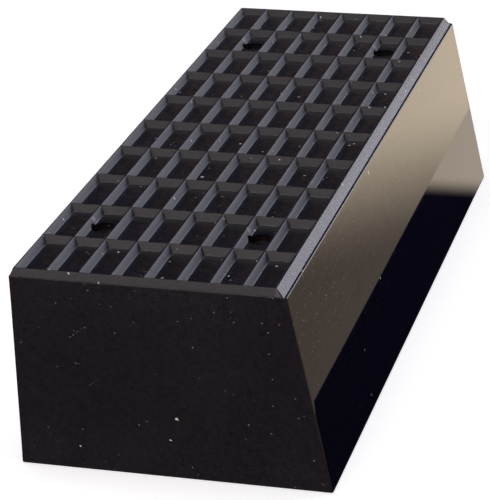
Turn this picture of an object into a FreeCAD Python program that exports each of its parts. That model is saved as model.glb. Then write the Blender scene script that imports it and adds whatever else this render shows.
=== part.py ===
"""Rubber speed bump block: a moulded rubber body with a waffle top and four steel-lined bolt holes.

Millimetres. +Z is up and the underside rests on Z = 0. X runs across the width, with the upright long
side at -X and the sloped long side at +X. Y runs along the length. The origin is the centre of the
bounding box at ground level.
"""
import FreeCAD, Part
import os

Vector = FreeCAD.Vector

# Outer block
LENGTH = 592.0
BASE_WIDTH = 220.4
HEIGHT = 146.0
BASE_EDGE = 1.0           # small bevel round the underside
CORNER_RADIUS = 1.5       # the four upright corners
LEFT_X = -BASE_WIDTH / 2
RIGHT_X = BASE_WIDTH / 2
BACK_Y = LENGTH / 2

# Waffle top: ridges on a grid, with one tapered pocket in each cell
COLUMNS = 8
ROWS = 10
COLUMN_PITCH = 22.6
ROW_PITCH = 58.6
RIDGE_TOP = 0.8           # flat width left along the crest of each ridge
SIDE_MARGIN = 3.5         # first ridge centre to the upright side
GRID_X = LEFT_X + SIDE_MARGIN
GRID_Y = -ROWS * ROW_PITCH / 2
GRID_RIGHT_X = GRID_X + COLUMNS * COLUMN_PITCH

# Bevel round the top, and the small ledge under it where the two halves of the mould met
BEVEL_DROP = 5.5
BEVEL_Z = HEIGHT - BEVEL_DROP
LEDGE = 0.6               # ledge width on the upright side and both ends
BEVEL_FOOT_X = GRID_RIGHT_X + 5.0
SHOULDER_X = GRID_RIGHT_X + 7.5
TOP_LEFT_X = GRID_X - RIDGE_TOP / 2
TOP_RIGHT_X = GRID_RIGHT_X + RIDGE_TOP / 2
TOP_BACK_Y = -GRID_Y + RIDGE_TOP / 2

# Pockets
POCKET_DEPTH = 5.2
POCKET_WALL_RUN = 3.4     # how far each wall leans in from the crest to the floor
POCKET_ROOT_RADIUS = 1.2
POCKET_FLOOR_Z = HEIGHT - POCKET_DEPTH

# Bolt holes: a counterbore for an M10 cap-head screw over a washer and a tube moulded into the rubber
HOLE_COLUMNS = (1, 6)     # cell numbers, counted from 0 at -X
HOLE_Y = 204.0            # hole centres to the middle of the length
COUNTERBORE_RADIUS = 8.75
SEAT_DEPTH = 5.0          # washer face below the pocket floor
BOLT_HOLE_RADIUS = 5.5
WASHER_RADIUS = 12.0
WASHER_THICKNESS = 3.0
SLEEVE_RADIUS = 7.5
SLEEVE_CLEARANCE = 1.0    # the tube stops this far above the ground
SEAT_Z = POCKET_FLOOR_Z - SEAT_DEPTH
WASHER_BASE_Z = SEAT_Z - WASHER_THICKNESS


def extruded(points, direction):
    """Solid swept from a closed outline of corner points along a direction."""
    return Part.Face(Part.makePolygon(points + points[:1])).extrude(direction)


def block():
    """The plain block, bevelled round its top and underside, with the ledge under the top bevel."""
    across = [(LEFT_X + BASE_EDGE, 0.0), (LEFT_X, BASE_EDGE), (LEFT_X, BEVEL_Z), (LEFT_X + LEDGE, BEVEL_Z),
              (TOP_LEFT_X, HEIGHT), (TOP_RIGHT_X, HEIGHT), (BEVEL_FOOT_X, BEVEL_Z), (SHOULDER_X, BEVEL_Z),
              (RIGHT_X, BASE_EDGE), (RIGHT_X - BASE_EDGE, 0.0)]
    half_along = [(BACK_Y - BASE_EDGE, 0.0), (BACK_Y, BASE_EDGE), (BACK_Y, BEVEL_Z),
                  (BACK_Y - LEDGE, BEVEL_Z), (TOP_BACK_Y, HEIGHT)]
    along = half_along + [(-y, z) for y, z in reversed(half_along)]
    width_run = extruded([Vector(x, -BACK_Y, z) for x, z in across], Vector(0, LENGTH, 0))
    length_run = extruded([Vector(LEFT_X, y, z) for y, z in along], Vector(BASE_WIDTH, 0, 0))
    return width_run.common(length_run)


def outer_block():
    """The block with its four upright corners rounded."""
    sharp = block()
    corners = []
    for edge in sharp.Edges:
        heights = [vertex.Z for vertex in edge.Vertexes]
        if max(heights) - min(heights) > HEIGHT / 2:
            corners.append(edge)
    return sharp.makeFillet(CORNER_RADIUS, corners)


def pocket():
    """One tapered pocket centred on the Z axis, with a filleted root."""
    overshoot = 1.0       # the cutter stands this far above the top
    height = POCKET_DEPTH + overshoot
    floor_x = (COLUMN_PITCH - RIDGE_TOP) / 2 - POCKET_WALL_RUN
    floor_y = (ROW_PITCH - RIDGE_TOP) / 2 - POCKET_WALL_RUN
    spread = POCKET_WALL_RUN / POCKET_DEPTH * height
    mouth_x = floor_x + spread
    mouth_y = floor_y + spread
    cutter = Part.makeWedge(-floor_x, 0.0, -floor_y, -mouth_y, -mouth_x,
                            floor_x, height, floor_y, mouth_y, mouth_x)
    cutter.rotate(Vector(0, 0, 0), Vector(1, 0, 0), 90.0)
    cutter.translate(Vector(0, 0, POCKET_FLOOR_Z))
    root = [edge for edge in cutter.Edges
            if max(vertex.Z for vertex in edge.Vertexes) < HEIGHT]
    return cutter.makeFillet(POCKET_ROOT_RADIUS, root)


def column_centre(column):
    return GRID_X + (column + 0.5) * COLUMN_PITCH


def cell_centre(column, row):
    return Vector(column_centre(column), GRID_Y + (row + 0.5) * ROW_PITCH, 0.0)


def upright_cylinder(centre, radius, z0, z1):
    return Part.makeCylinder(radius, z1 - z0, Vector(centre.x, centre.y, z0))


def hole_cutters(centre):
    """The counterbore and the space that the washer and the tube fill."""
    return [
        upright_cylinder(centre, COUNTERBORE_RADIUS, SEAT_Z, HEIGHT + 1.0),
        upright_cylinder(centre, WASHER_RADIUS, WASHER_BASE_Z, SEAT_Z),
        upright_cylinder(centre, SLEEVE_RADIUS, -1.0, WASHER_BASE_Z),
    ]


def rubber_body(hole_centres):
    cutters = []
    master = pocket()
    for column in range(COLUMNS):
        for row in range(ROWS):
            copy = master.copy()
            copy.translate(cell_centre(column, row))
            cutters.append(copy)
    body = outer_block().cut(cutters)
    for centre in hole_centres:
        body = body.cut(hole_cutters(centre))
    return body


def ring(centre, outer_radius, z0, z1):
    outside = upright_cylinder(centre, outer_radius, z0, z1)
    return outside.cut(upright_cylinder(centre, BOLT_HOLE_RADIUS, z0, z1))


def seat_washer(centre):
    return ring(centre, WASHER_RADIUS, WASHER_BASE_Z, SEAT_Z)


def sleeve(centre):
    return ring(centre, SLEEVE_RADIUS, SLEEVE_CLEARANCE, WASHER_BASE_Z)


def build():
    """All nodes by name. Holes are named by where they lie: front is -Y, left is -X."""
    sides = dict(zip(("left", "right"), HOLE_COLUMNS))
    ends = {"front": -HOLE_Y, "back": HOLE_Y}
    nodes = {}
    centres = []
    for end, y in ends.items():
        for side, column in sides.items():
            centre = Vector(column_centre(column), y, 0.0)
            centres.append(centre)
            nodes["seat_washer_" + end + "_" + side] = seat_washer(centre)
            nodes["bolt_sleeve_" + end + "_" + side] = sleeve(centre)
    nodes["rubber_body"] = rubber_body(centres)
    return nodes


os.makedirs("parts", exist_ok=True)
for name, shape in build().items():
    solid = shape.Solids[0]
    solid.exportStep("parts/" + name + ".step")
    box = solid.BoundBox
    print(name, len(shape.Solids), solid.isValid(), round(solid.Volume), len(solid.Faces),
          [round(v, 2) for v in (box.XMin, box.YMin, box.ZMin, box.XMax, box.YMax, box.ZMax)])
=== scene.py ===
"""Rubber speed bump block: looks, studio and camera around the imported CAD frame. Metres, +Z up."""

import math
import random

import bmesh
import bpy
from mathutils import Euler, Matrix, Vector, noise


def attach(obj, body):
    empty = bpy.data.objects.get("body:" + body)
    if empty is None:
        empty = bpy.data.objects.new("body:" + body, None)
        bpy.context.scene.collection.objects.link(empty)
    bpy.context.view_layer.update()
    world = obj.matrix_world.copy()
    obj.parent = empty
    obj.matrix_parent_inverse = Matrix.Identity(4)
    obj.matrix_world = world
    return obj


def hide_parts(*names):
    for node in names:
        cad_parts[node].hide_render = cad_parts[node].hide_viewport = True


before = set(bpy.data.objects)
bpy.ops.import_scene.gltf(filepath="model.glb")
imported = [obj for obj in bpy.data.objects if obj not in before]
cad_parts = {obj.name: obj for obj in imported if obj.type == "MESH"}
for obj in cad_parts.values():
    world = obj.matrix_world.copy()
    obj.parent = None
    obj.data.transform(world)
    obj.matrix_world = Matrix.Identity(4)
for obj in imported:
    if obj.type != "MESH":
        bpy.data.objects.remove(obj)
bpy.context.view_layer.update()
bpy.context.scene.view_settings.view_transform = "Standard"

# The block's dimensions, as in the CAD model
LEFT_X, RIGHT_X = -0.1102, 0.1102
BACK_Y = 0.296
HEIGHT = 0.146
BASE_EDGE = 0.001
CORNER_RADIUS = 0.0015
COLUMNS, ROWS = 8, 10
COLUMN_PITCH, ROW_PITCH = 0.0226, 0.0586
CREST_HALF = 0.0004
SIDE_MARGIN = 0.0035
GRID_X = LEFT_X + SIDE_MARGIN
GRID_Y = -ROWS * ROW_PITCH / 2
GRID_RIGHT_X = GRID_X + COLUMNS * COLUMN_PITCH
BEVEL_DROP = 0.0055
BEVEL_Z = HEIGHT - BEVEL_DROP
LEDGE = 0.0006
BEVEL_FOOT_X = GRID_RIGHT_X + 0.005
SHOULDER_X = GRID_RIGHT_X + 0.0075
POCKET_DEPTH, POCKET_RUN, POCKET_ROOT = 0.0052, 0.0034, 0.0012
FLOOR_Z = HEIGHT - POCKET_DEPTH
HOLE_COLUMNS = (1, 6)
HOLE_Y = 0.204
HOLES = [(GRID_X + (column + 0.5) * COLUMN_PITCH, y) for column in HOLE_COLUMNS for y in (-HOLE_Y, HOLE_Y)]
COUNTERBORE_R, WASHER_R, SLEEVE_R = 0.00875, 0.012, 0.0075
SEAT_DEPTH, WASHER_THICKNESS = 0.005, 0.003
SEAT_Z = FLOOR_Z - SEAT_DEPTH
WASHER_BASE_Z = SEAT_Z - WASHER_THICKNESS

# Mesh density
SIDE_X, SIDE_Y = 6, 16        # segments along a pocket's short and long sides
CORNER = 4                    # segments round every corner
SIDE_LEVELS = 26              # rows of faces up the sides
HOLE_SEGMENTS = 56
MERGE_DISTANCE = 0.000002
CREASE_ANGLE = 32             # degrees

# Specks of flash
NIB_SEED = 11
LEDGE_NIBS, CREST_NIBS = 22, 46
NIB_REACH_Y = 0.29


# ---------------------------------------------------------------- rubber body

def loop(x0, x1, y0, y1, radius, nx, ny):
    """Rounded rectangle, anticlockwise from its front left corner, as (x, y) pairs."""
    points = []
    corners = [(x0 + radius, y0 + radius, 180), (x1 - radius, y0 + radius, 270),
               (x1 - radius, y1 - radius, 0), (x0 + radius, y1 - radius, 90)]
    for index, (cx, cy, start) in enumerate(corners):
        for step in range(CORNER + 1):
            angle = math.radians(start + 90 * step / CORNER)
            points.append((cx + radius * math.cos(angle), cy + radius * math.sin(angle)))
        segments = nx if index % 2 == 0 else ny
        ax, ay = points[-1]
        nxt = corners[(index + 1) % 4]
        first = math.radians(nxt[2])
        bx, by = nxt[0] + radius * math.cos(first), nxt[1] + radius * math.sin(first)
        for step in range(1, segments):
            t = step / segments
            points.append((ax + (bx - ax) * t, ay + (by - ay) * t))
    return points


def ring_verts(bm, points, z):
    return [bm.verts.new((x, y, z)) for x, y in points]


def bridge(bm, outer, inner):
    count = len(outer)
    for i in range(count):
        j = (i + 1) % count
        bm.faces.new((outer[i], outer[j], inner[j], inner[i]))


def add_pocket(bm, column, row):
    """One cell: half the crest all round, the leaning walls, the rounded root and the floor."""
    x0, y0 = GRID_X + column * COLUMN_PITCH, GRID_Y + row * ROW_PITCH
    x1, y1 = x0 + COLUMN_PITCH, y0 + ROW_PITCH
    slope = POCKET_RUN / POCKET_DEPTH
    lean = math.atan(slope)
    tangent = POCKET_ROOT * math.tan((math.pi / 2 - lean) / 2)
    profile = [(0.0, 0.0, 0.0), (CREST_HALF - 0.00012, 0.0, 0.0001),
               (CREST_HALF + 0.00002, -0.00005, 0.0002), (CREST_HALF + 0.00014, -0.00022, 0.0003)]
    wall_end = POCKET_DEPTH - tangent * math.cos(lean)
    for share in (0.3, 0.65, 1.0):
        depth = wall_end * share
        profile.append((CREST_HALF + depth * slope, -depth, 0.0003 + 0.0009 * share))
    centre_in = CREST_HALF + POCKET_RUN + tangent
    for turn in (0.25, 0.5, 0.75, 1.0):
        angle = (math.pi / 2 - lean) * (1 - turn)
        profile.append((centre_in - POCKET_ROOT * math.sin(angle),
                        -POCKET_DEPTH + POCKET_ROOT * (1 - math.cos(angle)), 0.0012))
    profile.append((centre_in + 0.0012, -POCKET_DEPTH, 0.0011))
    previous = None
    for inset, drop, radius in profile:
        points = loop(x0 + inset, x1 - inset, y0 + inset, y1 - inset, radius, SIDE_X, SIDE_Y)
        verts = ring_verts(bm, points, HEIGHT + drop)
        if previous:
            bridge(bm, previous, verts)
        previous = verts
    bm.faces.new(previous)


def side_x(z):
    """X of the sloped side at a height."""
    return SHOULDER_X + (RIGHT_X - SHOULDER_X) * (BEVEL_Z - z) / (BEVEL_Z - BASE_EDGE)


def add_skirt(bm):
    """Everything outside the waffle: rim, bevel, ledge, sides, base edge and underside."""
    top_x0, top_x1 = GRID_X - CREST_HALF, GRID_RIGHT_X + CREST_HALF
    top_y = -GRID_Y + CREST_HALF
    foot_y = BACK_Y - LEDGE
    rows = [(GRID_X, GRID_RIGHT_X, -GRID_Y, HEIGHT, 0.0),
            (top_x0 + 0.0001, top_x1 - 0.0001, top_y - 0.0001, HEIGHT, 0.0001),
            (top_x0 - 0.00005, top_x1 + 0.0001, top_y + 0.00005, HEIGHT - 0.00008, 0.0003)]
    for share in (0.35, 0.7, 0.96):
        rows.append((top_x0 + (LEFT_X + LEDGE - top_x0) * share,
                     top_x1 + (BEVEL_FOOT_X - top_x1) * share,
                     top_y + (foot_y - top_y) * share,
                     HEIGHT + (BEVEL_Z - HEIGHT) * share,
                     0.0006 + 0.0006 * share))
    rows.append((LEFT_X + LEDGE, BEVEL_FOOT_X, foot_y, BEVEL_Z - 0.0001, 0.0012))
    rows.append((LEFT_X + LEDGE * 0.9, BEVEL_FOOT_X + 0.0005, foot_y + LEDGE * 0.1, BEVEL_Z - 0.0005, 0.0012))
    rows.append((LEFT_X + LEDGE * 0.5, SHOULDER_X - 0.0011, BACK_Y - LEDGE * 0.5, BEVEL_Z - 0.0004, 0.0014))
    lip = [(0.0006, 0.00005), (0.00025, 0.00018), (0.00006, 0.0005), (0.0, 0.0011)]
    for inset, drop in lip:
        z = BEVEL_Z - drop
        rows.append((LEFT_X + inset * 0.5, side_x(z) - inset, BACK_Y - inset * 0.5, z, CORNER_RADIUS))
    top, low = BEVEL_Z - 0.0011, BASE_EDGE + 0.0004
    for level in range(1, SIDE_LEVELS + 1):
        z = top + (low - top) * level / SIDE_LEVELS
        rows.append((LEFT_X, side_x(z), BACK_Y, z, CORNER_RADIUS))
    rows.append((LEFT_X + 0.0002, RIGHT_X - 0.0002, BACK_Y - 0.0002, BASE_EDGE * 0.5, 0.0014))
    rows.append((LEFT_X + BASE_EDGE, RIGHT_X - BASE_EDGE, BACK_Y - BASE_EDGE, 0.0, 0.001))
    previous = None
    for x0, x1, y, z, radius in rows:
        points = loop(x0, x1, -y, y, radius, COLUMNS * SIDE_X, ROWS * SIDE_Y)
        verts = ring_verts(bm, points, z)
        if previous:
            bridge(bm, previous, verts)
        previous = verts
    bm.faces.new(previous)


def wobble(co):
    """Small moulding unevenness. Sides only ever move inwards, so the block keeps its size."""
    x, y, z = co
    if z > BEVEL_Z + 0.0002:
        wave = noise.noise(Vector((x * 60, y * 60, z * 60)))
        fine = noise.noise(Vector((x * 260, y * 260, z * 120 + 5)))
        if min(x - GRID_X, GRID_RIGHT_X - x, y - GRID_Y, -GRID_Y - y) > 0.0015:
            co.x += 0.00007 * wave + 0.00003 * fine
            co.y += 0.00014 * noise.noise(Vector((x * 90, y * 40, 3.3))) + 0.00005 * fine
        co.z -= 0.00012 * (0.5 + 0.5 * wave) if z > HEIGHT - 0.0002 else 0.0
    elif 0.002 < z < BEVEL_Z - 0.002:
        broad = noise.noise(Vector((x * 9, y * 9, z * 9 + 1.7)))
        medium = noise.noise(Vector((x * 30, y * 30, z * 18 + 9.1)))
        depth = 0.00030 * (0.5 + 0.5 * broad) + 0.00008 * (0.5 + 0.5 * medium)
        slack = min(1.0, (BEVEL_Z - z) / 0.02, z / 0.012)
        if BACK_Y - abs(y) < 0.0004:
            co.y -= math.copysign(depth * slack, y)
        elif x > 0:
            co.x -= 0.00006 * (0.5 + 0.5 * broad) * slack
        else:
            co.x += depth * slack


def finish_mesh(mesh, angle):
    """Smooth shading with creases kept where faces meet at more than the angle."""
    bm = bmesh.new()
    bm.from_mesh(mesh)
    bmesh.ops.recalc_face_normals(bm, faces=bm.faces)
    for face in bm.faces:
        face.smooth = True
    for edge in bm.edges:
        if len(edge.link_faces) == 2:
            edge.smooth = edge.calc_face_angle(0.0) < math.radians(angle)
    bm.to_mesh(mesh)
    bm.free()


def linked(name, mesh):
    obj = bpy.data.objects.new(name, mesh)
    bpy.context.scene.collection.objects.link(obj)
    return obj


def hole_cutter():
    """Four stepped round cutters in one mesh: head recess, washer seat and sleeve bore."""
    bm = bmesh.new()
    overshoot = 0.003
    steps = [(SLEEVE_R, -overshoot), (SLEEVE_R, WASHER_BASE_Z), (WASHER_R, WASHER_BASE_Z), (WASHER_R, SEAT_Z),
             (COUNTERBORE_R, SEAT_Z), (COUNTERBORE_R, HEIGHT + overshoot)]
    for cx, cy in HOLES:
        previous = None
        for radius, z in steps:
            angles = [math.tau * i / HOLE_SEGMENTS for i in range(HOLE_SEGMENTS)]
            verts = [bm.verts.new((cx + radius * math.cos(a), cy + radius * math.sin(a), z)) for a in angles]
            if previous:
                bridge(bm, previous, verts)
            else:
                bm.faces.new(verts)
            previous = verts
        bm.faces.new(previous)
    bmesh.ops.recalc_face_normals(bm, faces=bm.faces)
    mesh = bpy.data.meshes.new("hole_cutter")
    bm.to_mesh(mesh)
    bm.free()
    return linked("hole_cutter", mesh)


def tear_rims(mesh):
    """Ragged rubber where the head recesses cut through the pocket walls."""
    for vertex in mesh.vertices:
        co = vertex.co
        if co.z < FLOOR_Z + 0.0004:
            continue
        for cx, cy in HOLES:
            away = Vector((co.x - cx, co.y - cy))
            if abs(away.length - COUNTERBORE_R) < 0.0001:
                ragged = noise.noise(co * 700)
                outward = away.normalized() * 0.0005 * ragged
                co.x += outward.x
                co.y += outward.y
                co.z = min(co.z + 0.0007 * noise.noise(co * 900 + Vector((4, 4, 4))), HEIGHT)


def add_nibs(mesh):
    """Specks of moulding flash on the ledge under the sloped side's bevel and on the crests."""
    rng = random.Random(NIB_SEED)
    bm = bmesh.new()
    bm.from_mesh(mesh)
    spots = []
    for _ in range(LEDGE_NIBS):
        x = SHOULDER_X - rng.uniform(0.0004, 0.0022)
        y = rng.uniform(-NIB_REACH_Y, NIB_REACH_Y)
        spots.append((Vector((x, y, BEVEL_Z - 0.0004)), rng.uniform(0.00025, 0.0006)))
    for _ in range(CREST_NIBS):
        x = GRID_X + rng.randrange(0, COLUMNS + 1) * COLUMN_PITCH + rng.uniform(0.0, 0.0012)
        y = rng.uniform(-NIB_REACH_Y, NIB_REACH_Y)
        z = HEIGHT - rng.uniform(0.0006, 0.0014)
        spots.append((Vector((x, y, z)), rng.uniform(0.0002, 0.00045)))
    for centre, size in spots:
        stretch = Vector((rng.uniform(0.6, 1.3), rng.uniform(0.8, 2.2), rng.uniform(0.5, 0.9)))
        place = Matrix.Translation(centre) @ Euler((0, 0, rng.uniform(0, 3))).to_matrix().to_4x4()
        place = place @ Matrix.Diagonal((stretch * size).to_4d())
        bmesh.ops.create_icosphere(bm, subdivisions=1, radius=1.0, matrix=place)
    bm.to_mesh(mesh)
    bm.free()


def make_body():
    bm = bmesh.new()
    for column in range(COLUMNS):
        for row in range(ROWS):
            add_pocket(bm, column, row)
    add_skirt(bm)
    bmesh.ops.remove_doubles(bm, verts=bm.verts, dist=MERGE_DISTANCE)
    for vertex in bm.verts:
        wobble(vertex.co)
    bmesh.ops.recalc_face_normals(bm, faces=bm.faces)
    mesh = bpy.data.meshes.new("rubber_block")
    bm.to_mesh(mesh)
    bm.free()
    whole = linked("rubber_block_whole", mesh)
    cutter = hole_cutter()
    cut = whole.modifiers.new("holes", "BOOLEAN")
    cut.object = cutter
    cut.operation = "DIFFERENCE"
    cut.solver = "EXACT"
    bpy.context.view_layer.update()
    result = bpy.data.meshes.new_from_object(whole.evaluated_get(bpy.context.evaluated_depsgraph_get()))
    for helper in (whole, cutter):
        bpy.data.objects.remove(helper)
    tear_rims(result)
    add_nibs(result)
    finish_mesh(result, CREASE_ANGLE)
    result.materials.clear()
    block = linked("rubber_block", result)
    flat_walls = block.modifiers.new("flat_walls", "WEIGHTED_NORMAL")
    flat_walls.keep_sharp = True
    return block


# ---------------------------------------------------------------- materials

RUBBER_IOR = 1.52
EDGE_ANGLE = 50               # degrees; steel edges sharper than this are bevelled


class Nodes:
    """A short way to write a node material."""

    def __init__(self, name):
        self.material = bpy.data.materials.new(name)
        self.material.use_nodes = True
        self.tree = self.material.node_tree
        self.shader = self.tree.nodes["Principled BSDF"]
        self.place = self.add("ShaderNodeTexCoord").outputs["Object"]

    def add(self, kind, **settings):
        node = self.tree.nodes.new(kind)
        for key, value in settings.items():
            setattr(node, key, value)
        return node

    def put(self, value, socket):
        if isinstance(value, bpy.types.NodeSocket):
            self.tree.links.new(value, socket)
        else:
            socket.default_value = value

    def stretched(self, scale, turn=(0.0, 0.0, 0.0)):
        turned = self.add("ShaderNodeMapping")
        self.put(self.place, turned.inputs["Vector"])
        turned.inputs["Rotation"].default_value = turn
        node = self.add("ShaderNodeMapping")
        self.put(turned.outputs["Vector"], node.inputs["Vector"])
        node.inputs["Scale"].default_value = scale
        return node.outputs["Vector"]

    def noise(self, scale, detail=3.0, roughness=0.55, vector=None):
        node = self.add("ShaderNodeTexNoise")
        self.put(vector or self.place, node.inputs["Vector"])
        node.inputs["Scale"].default_value = scale
        node.inputs["Detail"].default_value = detail
        node.inputs["Roughness"].default_value = roughness
        return node.outputs["Fac"]

    def spread(self, value, low, high, to_low=0.0, to_high=1.0):
        node = self.add("ShaderNodeMapRange", interpolation_type="SMOOTHSTEP")
        for key, number in (("From Min", low), ("From Max", high), ("To Min", to_low), ("To Max", to_high)):
            node.inputs[key].default_value = number
        self.put(value, node.inputs["Value"])
        return node.outputs["Result"]

    def math(self, kind, a, b=None):
        node = self.add("ShaderNodeMath", operation=kind)
        self.put(a, node.inputs[0])
        if b is not None:
            self.put(b, node.inputs[1])
        return node.outputs[0]

    def times(self, first, *others):
        for other in others:
            first = self.math("MULTIPLY", first, other)
        return first

    def mix(self, factor, a, b):
        """Mix of two colours. A Mix node's colour sockets are inputs 6 and 7 and output 2."""
        node = self.add("ShaderNodeMix", data_type="RGBA")
        self.put(factor, node.inputs["Factor"])
        for index, value in ((6, a), (7, b)):
            if not isinstance(value, bpy.types.NodeSocket):
                value = (*value, 1.0)
            self.put(value, node.inputs[index])
        return node.outputs[2]

    def cell_share(self, coordinate, start, pitch):
        """How far across its waffle cell a point lies, from 0 to 1."""
        cells = self.math("DIVIDE", self.math("SUBTRACT", coordinate, start), pitch)
        return self.math("FRACT", cells)

    def blend(self, factor, a, b):
        """Mix of two numbers. A Mix node's number sockets are inputs 0, 2 and 3 and output 0."""
        node = self.add("ShaderNodeMix", data_type="FLOAT")
        for index, value in ((0, factor), (2, a), (3, b)):
            self.put(value, node.inputs[index])
        return node.outputs[0]

    def flecks(self, scale, rarity, size, vector=None):
        """Sparse irregular specks: one in a few cells of a cell pattern, with a wandering outline."""
        bend = self.add("ShaderNodeTexNoise")
        self.put(self.place, bend.inputs["Vector"])
        bend.inputs["Scale"].default_value = scale * 3.0
        shift = self.add("ShaderNodeVectorMath", operation="MULTIPLY_ADD")
        self.put(bend.outputs["Color"], shift.inputs[0])
        shift.inputs[1].default_value = (0.7 / scale,) * 3
        self.put(vector or self.place, shift.inputs[2])
        cells = self.add("ShaderNodeTexVoronoi", feature="F1")
        self.put(shift.outputs[0], cells.inputs["Vector"])
        cells.inputs["Scale"].default_value = scale
        chosen = self.add("ShaderNodeSeparateXYZ")
        self.put(cells.outputs["Color"], chosen.inputs[0])
        wanted = self.spread(chosen.outputs["X"], rarity, rarity + 0.004)
        reach = self.math("MULTIPLY", self.spread(chosen.outputs["Y"], 0.0, 1.0, 0.5, 1.3), size)
        inside = self.math("LESS_THAN", cells.outputs["Distance"], reach)
        return self.math("MULTIPLY", wanted, inside)

    def spot(self, centre, radii, raggedness=0.35):
        """Mask that is 1 inside an ellipsoid and fades out across a ragged edge."""
        node = self.add("ShaderNodeMapping", vector_type="TEXTURE")
        self.put(self.place, node.inputs["Vector"])
        node.inputs["Location"].default_value = centre
        node.inputs["Scale"].default_value = radii
        length = self.add("ShaderNodeVectorMath", operation="LENGTH")
        self.put(node.outputs["Vector"], length.inputs[0])
        edge = self.spread(self.noise(900.0, 3.0), 0.3, 0.7, -raggedness, raggedness)
        return self.spread(self.math("ADD", length.outputs["Value"], edge), 1.15, 0.75)

    def bump(self, height, strength, distance, normal=None):
        node = self.add("ShaderNodeBump")
        node.inputs["Strength"].default_value = strength
        node.inputs["Distance"].default_value = distance
        self.put(height, node.inputs["Height"])
        if normal:
            self.put(normal, node.inputs["Normal"])
        return node.outputs["Normal"]


def rubber_tone(m, x, y, z, floors, sides, sloped):
    """Mottled black, with dust in the pockets, specks, hairline scratches and torn edges at the holes.
    Painted light and shade: bluish black floors near the pocket walls, a near-black sloped side with dimmer
    marks, a film brighter near the top and foot, and pale highlights at the hole notches.
    """
    black, brown, violet = (0.0078, 0.0052, 0.0078), (0.0130, 0.0082, 0.0080), (0.0095, 0.0062, 0.0115)
    film_and_reflection_tone, shaded_slope = (0.021, 0.0155, 0.0175), (0.0025, 0.0021, 0.0030)
    shaded_bare_floor, settled_dust = (0.0034, 0.0028, 0.0052), (0.031, 0.0185, 0.0130)
    specks, shaded_slope_specks = (0.13, 0.11, 0.095), (0.03, 0.027, 0.025)
    scratched, shaded_slope_scratches = (0.16, 0.135, 0.115), (0.05, 0.043, 0.037)
    clinging_dust, pale_grit, torn_rubber_glint = (0.20, 0.17, 0.14), (0.60, 0.56, 0.50), (0.34, 0.31, 0.28)
    scratch_turns = (0.35, -0.9, 1.3)
    mid_height = 0.075

    tone = m.mix(m.spread(m.noise(210.0, 6.0, 0.75), 0.42, 0.62), black, brown)
    tone = m.mix(m.spread(m.noise(150.0, 5.0, 0.75, m.stretched((1.3, 0.7, 2.0))), 0.48, 0.66), tone, violet)
    # Painted reflection: the dust film is made strongest near the top and foot of the block and weakest at
    # mid height.
    edges = m.spread(m.math("ABSOLUTE", m.math("SUBTRACT", z, mid_height)), 0.025, 0.07)
    film_and_reflection = m.times(m.spread(m.noise(600.0, 4.0, 0.75), 0.44, 0.62), m.spread(edges, 0.0, 1.0, 0.4, 1.0))
    tone = m.mix(m.times(film_and_reflection, 0.6), tone, film_and_reflection_tone)
    # Painted shade: the sloped side is made near black, darker than the other faces.
    slope_shade = m.times(sloped, m.spread(m.noise(700.0, 4.0, 0.7), 0.5, 0.75, 1.0, 0.8))
    tone = m.mix(slope_shade, tone, shaded_slope)

    # Painted shade: floors stay bluish black near a cell's left and far walls, and dust brown shows only away
    # from them, browner towards the far end.
    across = m.cell_share(x, GRID_X, COLUMN_PITCH)
    along = m.cell_share(y, GRID_Y, ROW_PITCH)
    dust_and_wall_shade = m.times(m.spread(across, 0.27, 0.56), m.spread(along, 0.90, 0.74),
                      m.spread(y, -0.28, 0.25, 0.45, 1.0))
    floor_dust_and_shade = m.times(floors, dust_and_wall_shade, m.spread(m.noise(170.0, 6.0, 0.72), 0.36, 0.66, 0.25, 1.0))
    tone = m.mix(m.times(floors, 0.8), tone, shaded_bare_floor)
    tone = m.mix(floor_dust_and_shade, tone, settled_dust)

    # Painted shade: specks and scratches on the sloped side are dimmer copies of those elsewhere.
    tone = m.mix(m.flecks(520.0, 0.984, 0.30), tone, m.mix(sloped, specks, shaded_slope_specks))
    # Pale dust specks on the sloped side, fading out towards its foot as painted shade.
    specks_fading_into_shade = m.times(sloped, m.spread(z, 0.035, 0.12), m.flecks(640.0, 0.87, 0.30))
    tone = m.mix(specks_fading_into_shade, tone, clinging_dust)
    for turn in scratch_turns:
        hairs = m.flecks(260.0, 0.965, 0.085, m.stretched((1.0, 1.0, 0.07), (0.0, turn, 0.0)))
        tone = m.mix(m.times(hairs, sides), tone, m.mix(sloped, scratched, shaded_slope_scratches))
    on_top = m.times(m.spread(z, BEVEL_Z - 0.0008, BEVEL_Z), m.flecks(330.0, 0.975, 0.26))
    tone = m.mix(m.math("MAXIMUM", on_top, m.flecks(200.0, 0.994, 0.20)), tone, pale_grit)
    # Painted highlight: a pale patch on the torn rubber at each hole's notch.
    for cx, cy in HOLES:
        torn_glint = m.spot((cx - 0.0096, cy + 0.0065, HEIGHT - 0.0018), (0.0014, 0.0027, 0.0026), 0.8)
        tone = m.mix(m.times(torn_glint, 0.6), tone, torn_rubber_glint)
    return tone, floor_dust_and_shade


def hole_shade_mask(m):
    """Painted shade: a dark bluish patch on the pocket floor beyond each hole."""
    shift_y, radii = 0.008, (0.0085, 0.0175, 0.0012)
    hole_shade = 0.0
    for cx, cy in HOLES:
        hole_shade = m.math("MAXIMUM", hole_shade, m.spot((cx, cy + shift_y, FLOOR_Z), radii))
    return hole_shade


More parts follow.
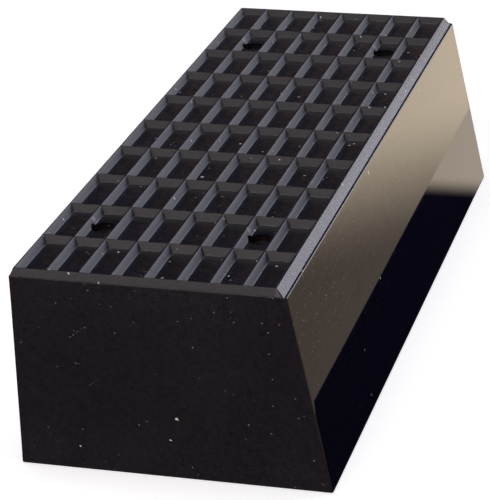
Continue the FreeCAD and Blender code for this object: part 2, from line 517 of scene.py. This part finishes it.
def rubber_roughness(m, x, y, z, up, sides, sloped, floor_dust_and_shade, hole_shade, streaks, smears):
    """Satin floors and bevels, duller pocket walls and sides, and a polished sloped side with scuffs."""
    walls_rough, hole_shade_rough = 0.45, 0.13
    in_pocket = m.times(m.spread(x, GRID_RIGHT_X, GRID_RIGHT_X - 0.0005), m.spread(up, 0.95, 0.80))
    shine = m.blend(in_pocket, m.spread(m.noise(75.0, 5.0, 0.6), 0.3, 0.75, 0.18, 0.27), walls_rough)
    matt = m.blend(sides, shine, m.spread(smears, 0.3, 0.7, 0.24, 0.36))
    worn = m.times(m.spread(z, 0.067, 0.084), m.spread(y, 0.16, -0.06))
    marks = m.math("ADD", m.times(streaks, 0.35), m.times(smears, 0.65))
    scuffs = m.times(worn, m.spread(marks, 0.46, 0.62))
    polished = m.math("ADD", m.spread(smears, 0.3, 0.7, 0.010, 0.022), m.times(scuffs, 0.16))
    rough = m.blend(sloped, matt, polished)
    # The painted-shade patch beyond each hole is also made glossier.
    return m.blend(hole_shade, m.math("ADD", rough, m.times(floor_dust_and_shade, 0.12)), hole_shade_rough)


def rubber_normal(m, sides, sloped, streaks):
    """Fine grain and soft lumps, both nearly absent from the polished sloped side."""
    grain = m.times(m.noise(950.0, 3.0, 0.6), m.spread(sloped, 0.0, 1.0, 1.0, 0.012))
    normal = m.bump(grain, 0.40, 0.00030)
    lumps = m.times(m.noise(160.0, 3.0, 0.5), m.spread(sides, 0.0, 1.0, 1.0, 0.0))
    normal = m.bump(lumps, 0.14, 0.0006, normal)
    return m.bump(m.times(streaks, sloped), 0.003, 0.0003, normal)


def rubber_material():
    m = Nodes("moulded_rubber")
    geometry = m.add("ShaderNodeNewGeometry")
    facing = m.add("ShaderNodeSeparateXYZ")
    m.put(geometry.outputs["True Normal"], facing.inputs[0])
    position = m.add("ShaderNodeSeparateXYZ")
    m.put(m.place, position.inputs[0])
    x, y, z = (position.outputs[axis] for axis in "XYZ")
    up = facing.outputs["Z"]
    low_in_pocket = m.spread(z, FLOOR_Z + 0.0012, FLOOR_Z + 0.0003)
    floors = m.times(low_in_pocket, m.spread(up, 0.75, 0.97))
    sides = m.spread(up, 0.35, 0.25)
    sloped = m.spread(facing.outputs["X"], 0.90, 0.96)

    hole_shade = hole_shade_mask(m)
    tone, floor_dust_and_shade = rubber_tone(m, x, y, z, floors, sides, sloped)
    # Painted shade: the floor beyond each hole is darkened to a bluish black.
    hole_shade_colour = (0.0020, 0.0022, 0.0045)
    m.put(m.mix(m.times(hole_shade, 0.85), tone, hole_shade_colour), m.shader.inputs["Base Color"])

    streaks = m.noise(1.0, 4.0, 0.6, vector=m.stretched((22.0, 420.0, 14.0)))
    smears = m.noise(1.0, 5.0, 0.65, vector=m.stretched((16.0, 40.0, 11.0)))
    rough = rubber_roughness(m, x, y, z, up, sides, sloped, floor_dust_and_shade, hole_shade, streaks, smears)
    m.put(rough, m.shader.inputs["Roughness"])
    m.shader.inputs["IOR"].default_value = RUBBER_IOR
    m.put(rubber_normal(m, sides, sloped, streaks), m.shader.inputs["Normal"])
    return m.material


def steel_material(name, colour, dirt, rough):
    m = Nodes(name)
    stains = m.spread(m.noise(140.0, 5.0, 0.6), 0.45, 0.7)
    m.put(m.mix(stains, colour, dirt), m.shader.inputs["Base Color"])
    m.put(m.spread(m.noise(260.0, 4.0), 0.3, 0.7, rough, rough + 0.22), m.shader.inputs["Roughness"])
    m.put(m.bump(m.noise(700.0, 2.0), 0.2, 0.0003), m.shader.inputs["Normal"])
    m.shader.inputs["Metallic"].default_value = 1.0
    return m.material


def dress_steel(prefix, material, width):
    for name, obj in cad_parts.items():
        if name.startswith(prefix):
            obj.data.materials.clear()
            obj.data.materials.append(material)
            edge = obj.modifiers.new("edge", "BEVEL")
            edge.width = width
            edge.segments = 2
            edge.limit_method = "ANGLE"
            edge.angle_limit = math.radians(EDGE_ANGLE)


# ---------------------------------------------------------------- studio

# Soft lights: name, place, aim, size, watts, colour
LIGHTS = [
    ("overhead", (0.0, 0.1, 3.4), (0, 0, 0), (2.4, 2.4), 56, (1.0, 0.98, 0.98)),
    ("behind_camera", (-0.9, -3.0, 1.8), (0, 0, 0.1), (3.2, 2.6), 54, (1.0, 0.92, 0.93)),
    ("left_fill", (-3.2, 0.6, 1.6), (0, 0, 0.1), (2.0, 1.4), 14, (0.97, 0.98, 1.0)),
    ("right_fill", (3.2, -0.3, 1.0), (0, 0, 0.1), (2.4, 1.9), 13, (0.97, 0.98, 1.0)),
]

# Cards that only reflections show: two on the ground and one upright, far to the right
CARD_Y0, CARD_Y1 = -0.45, 1.8
SHADE_X0, SHADE_X1 = 0.1115, 0.172
GROUND_X1 = 0.8
SHADE_SLANT = 0.94            # how far the lit end of the shade card runs back, per metre across
HORIZON_NEAR, HORIZON_FAR = (3.9, 2.7), (1.1, 4.15)
HORIZON_Z0, HORIZON_Z1 = -0.1, 4.6

# Floor and world
FLOOR_HALF = 7.0
FLOOR_GLOW = 0.52
WORLD_COLOUR, WORLD_STRENGTH = (0.55, 0.60, 1.0, 1.0), 0.05

# Camera
AZIMUTH, ELEVATION, ROLL = 15.763, 22.970, -1.978    # degrees
AIM = (-0.0238, -0.0174, 0.0498)
DISTANCE = 1.8652
LENS, SENSOR = 173.08, 36.0                          # millimetres


def area_light(name, place, target, size, power, colour):
    data = bpy.data.lights.new(name, "AREA")
    data.shape = "RECTANGLE"
    data.size, data.size_y = size
    data.energy = power
    data.color = colour
    obj = bpy.data.objects.new(name, data)
    bpy.context.scene.collection.objects.link(obj)
    obj.location = place
    obj.rotation_euler = (Vector(target) - Vector(place)).to_track_quat("-Z", "Y").to_euler()


def card(name, corners, paint):
    """A studio card that only reflections show. paint(m, position) gives its colour and strength."""
    bm = bmesh.new()
    bm.faces.new([bm.verts.new(c) for c in corners])
    mesh = bpy.data.meshes.new(name)
    bm.to_mesh(mesh)
    bm.free()
    obj = linked(name, mesh)
    m = Nodes(name + "_glow")
    m.tree.nodes.remove(m.shader)
    position = m.add("ShaderNodeSeparateXYZ")
    m.put(m.place, position.inputs[0])
    glow = m.add("ShaderNodeEmission")
    m.put(paint(m, position.outputs), glow.inputs["Color"])
    m.put(glow.outputs[0], m.tree.nodes["Material Output"].inputs["Surface"])
    mesh.materials.append(m.material)
    obj.visible_camera = False
    obj.visible_diffuse = False
    obj.visible_shadow = False
    obj.visible_transmission = False


def ground_card_paint(m, position):
    """Warm light from the ground to the right of the block, brighter towards the far end."""
    return m.mix(m.spread(position["Y"], 0.16, 0.62), (0.25, 0.197, 0.160), (1.65, 1.38, 1.04))


def shade_card_paint(m, position):
    """Dark beside the block, and lit past its far end."""
    along = m.math("SUBTRACT", position["Y"], m.math("MULTIPLY", position["X"], SHADE_SLANT))
    return m.mix(m.spread(along, 0.138, 0.190), (0.004, 0.004, 0.016), (1.1, 0.93, 0.75))


def horizon_card_paint(m, position):
    """Bluish at its foot, dimmer and neutral above that, and bluish again towards its top."""
    low = m.mix(m.spread(position["Z"], 0.25, 0.60), (3.2, 3.25, 4.6), (1.45, 1.36, 1.15))
    return m.mix(m.spread(position["Z"], 1.0, 1.6), low, (3.8, 3.95, 5.3))


def add_floor():
    bm = bmesh.new()
    bmesh.ops.create_grid(bm, x_segments=1, y_segments=1, size=FLOOR_HALF)
    mesh = bpy.data.meshes.new("studio_floor")
    bm.to_mesh(mesh)
    bm.free()
    floor = linked("studio_floor", mesh)
    m = Nodes("pale_floor")
    m.put(m.mix(m.noise(3.0), (0.86, 0.86, 0.865), (0.9, 0.9, 0.9)), m.shader.inputs["Base Color"])
    m.shader.inputs["Roughness"].default_value = 0.9
    m.shader.inputs["Emission Color"].default_value = (1.0, 1.0, 1.0, 1.0)
    m.shader.inputs["Emission Strength"].default_value = FLOOR_GLOW
    mesh.materials.append(m.material)
    floor.visible_glossy = False


def add_world():
    world = bpy.data.worlds.new("studio_world")
    bpy.context.scene.world = world
    world.use_nodes = True
    background = world.node_tree.nodes["Background"]
    background.inputs["Color"].default_value = WORLD_COLOUR
    background.inputs["Strength"].default_value = WORLD_STRENGTH


def flat_corners(x0, x1):
    return [(x0, CARD_Y0, 0), (x1, CARD_Y0, 0), (x1, CARD_Y1, 0), (x0, CARD_Y1, 0)]


def add_lights():
    for light in LIGHTS:
        area_light(*light)
    card("ground_card", flat_corners(SHADE_X1, GROUND_X1), ground_card_paint)
    card("shade_card", flat_corners(SHADE_X0, SHADE_X1), shade_card_paint)
    upright = [(*HORIZON_FAR, HORIZON_Z0), (*HORIZON_NEAR, HORIZON_Z0),
               (*HORIZON_NEAR, HORIZON_Z1), (*HORIZON_FAR, HORIZON_Z1)]
    card("horizon_card", upright, horizon_card_paint)


def add_camera():
    """The photograph's view: slightly to the right of the length, 23 degrees above the ground."""
    azimuth, elevation, roll = math.radians(AZIMUTH), math.radians(ELEVATION), math.radians(ROLL)
    data = bpy.data.cameras.new("camera")
    data.lens = LENS
    data.sensor_width = SENSOR
    data.clip_end = 60.0
    obj = bpy.data.objects.new("camera", data)
    bpy.context.scene.collection.objects.link(obj)
    back = Vector((math.sin(azimuth) * math.cos(elevation), -math.cos(azimuth) * math.cos(elevation),
                   math.sin(elevation)))
    turn = Euler((math.pi / 2 - elevation, 0.0, azimuth)).to_matrix() @ Matrix.Rotation(roll, 3, "Z")
    obj.matrix_world = Matrix.Translation(Vector(AIM) + back * DISTANCE) @ turn.to_4x4()
    bpy.context.scene.camera = obj


body = make_body()
body.data.materials.append(rubber_material())
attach(body, "root")
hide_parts("rubber_body")
# The washer's steel is made near black as painted shade deep in each hole.
washer_steel = steel_material("washer_steel", (0.055, 0.052, 0.05), (0.018, 0.015, 0.013), 0.38)
dress_steel("seat_washer", washer_steel, 0.0004)
sleeve_steel = steel_material("sleeve_steel", (0.50, 0.49, 0.48), (0.16, 0.14, 0.12), 0.30)
dress_steel("bolt_sleeve", sleeve_steel, 0.0003)

add_floor()
add_world()
add_lights()
add_camera()
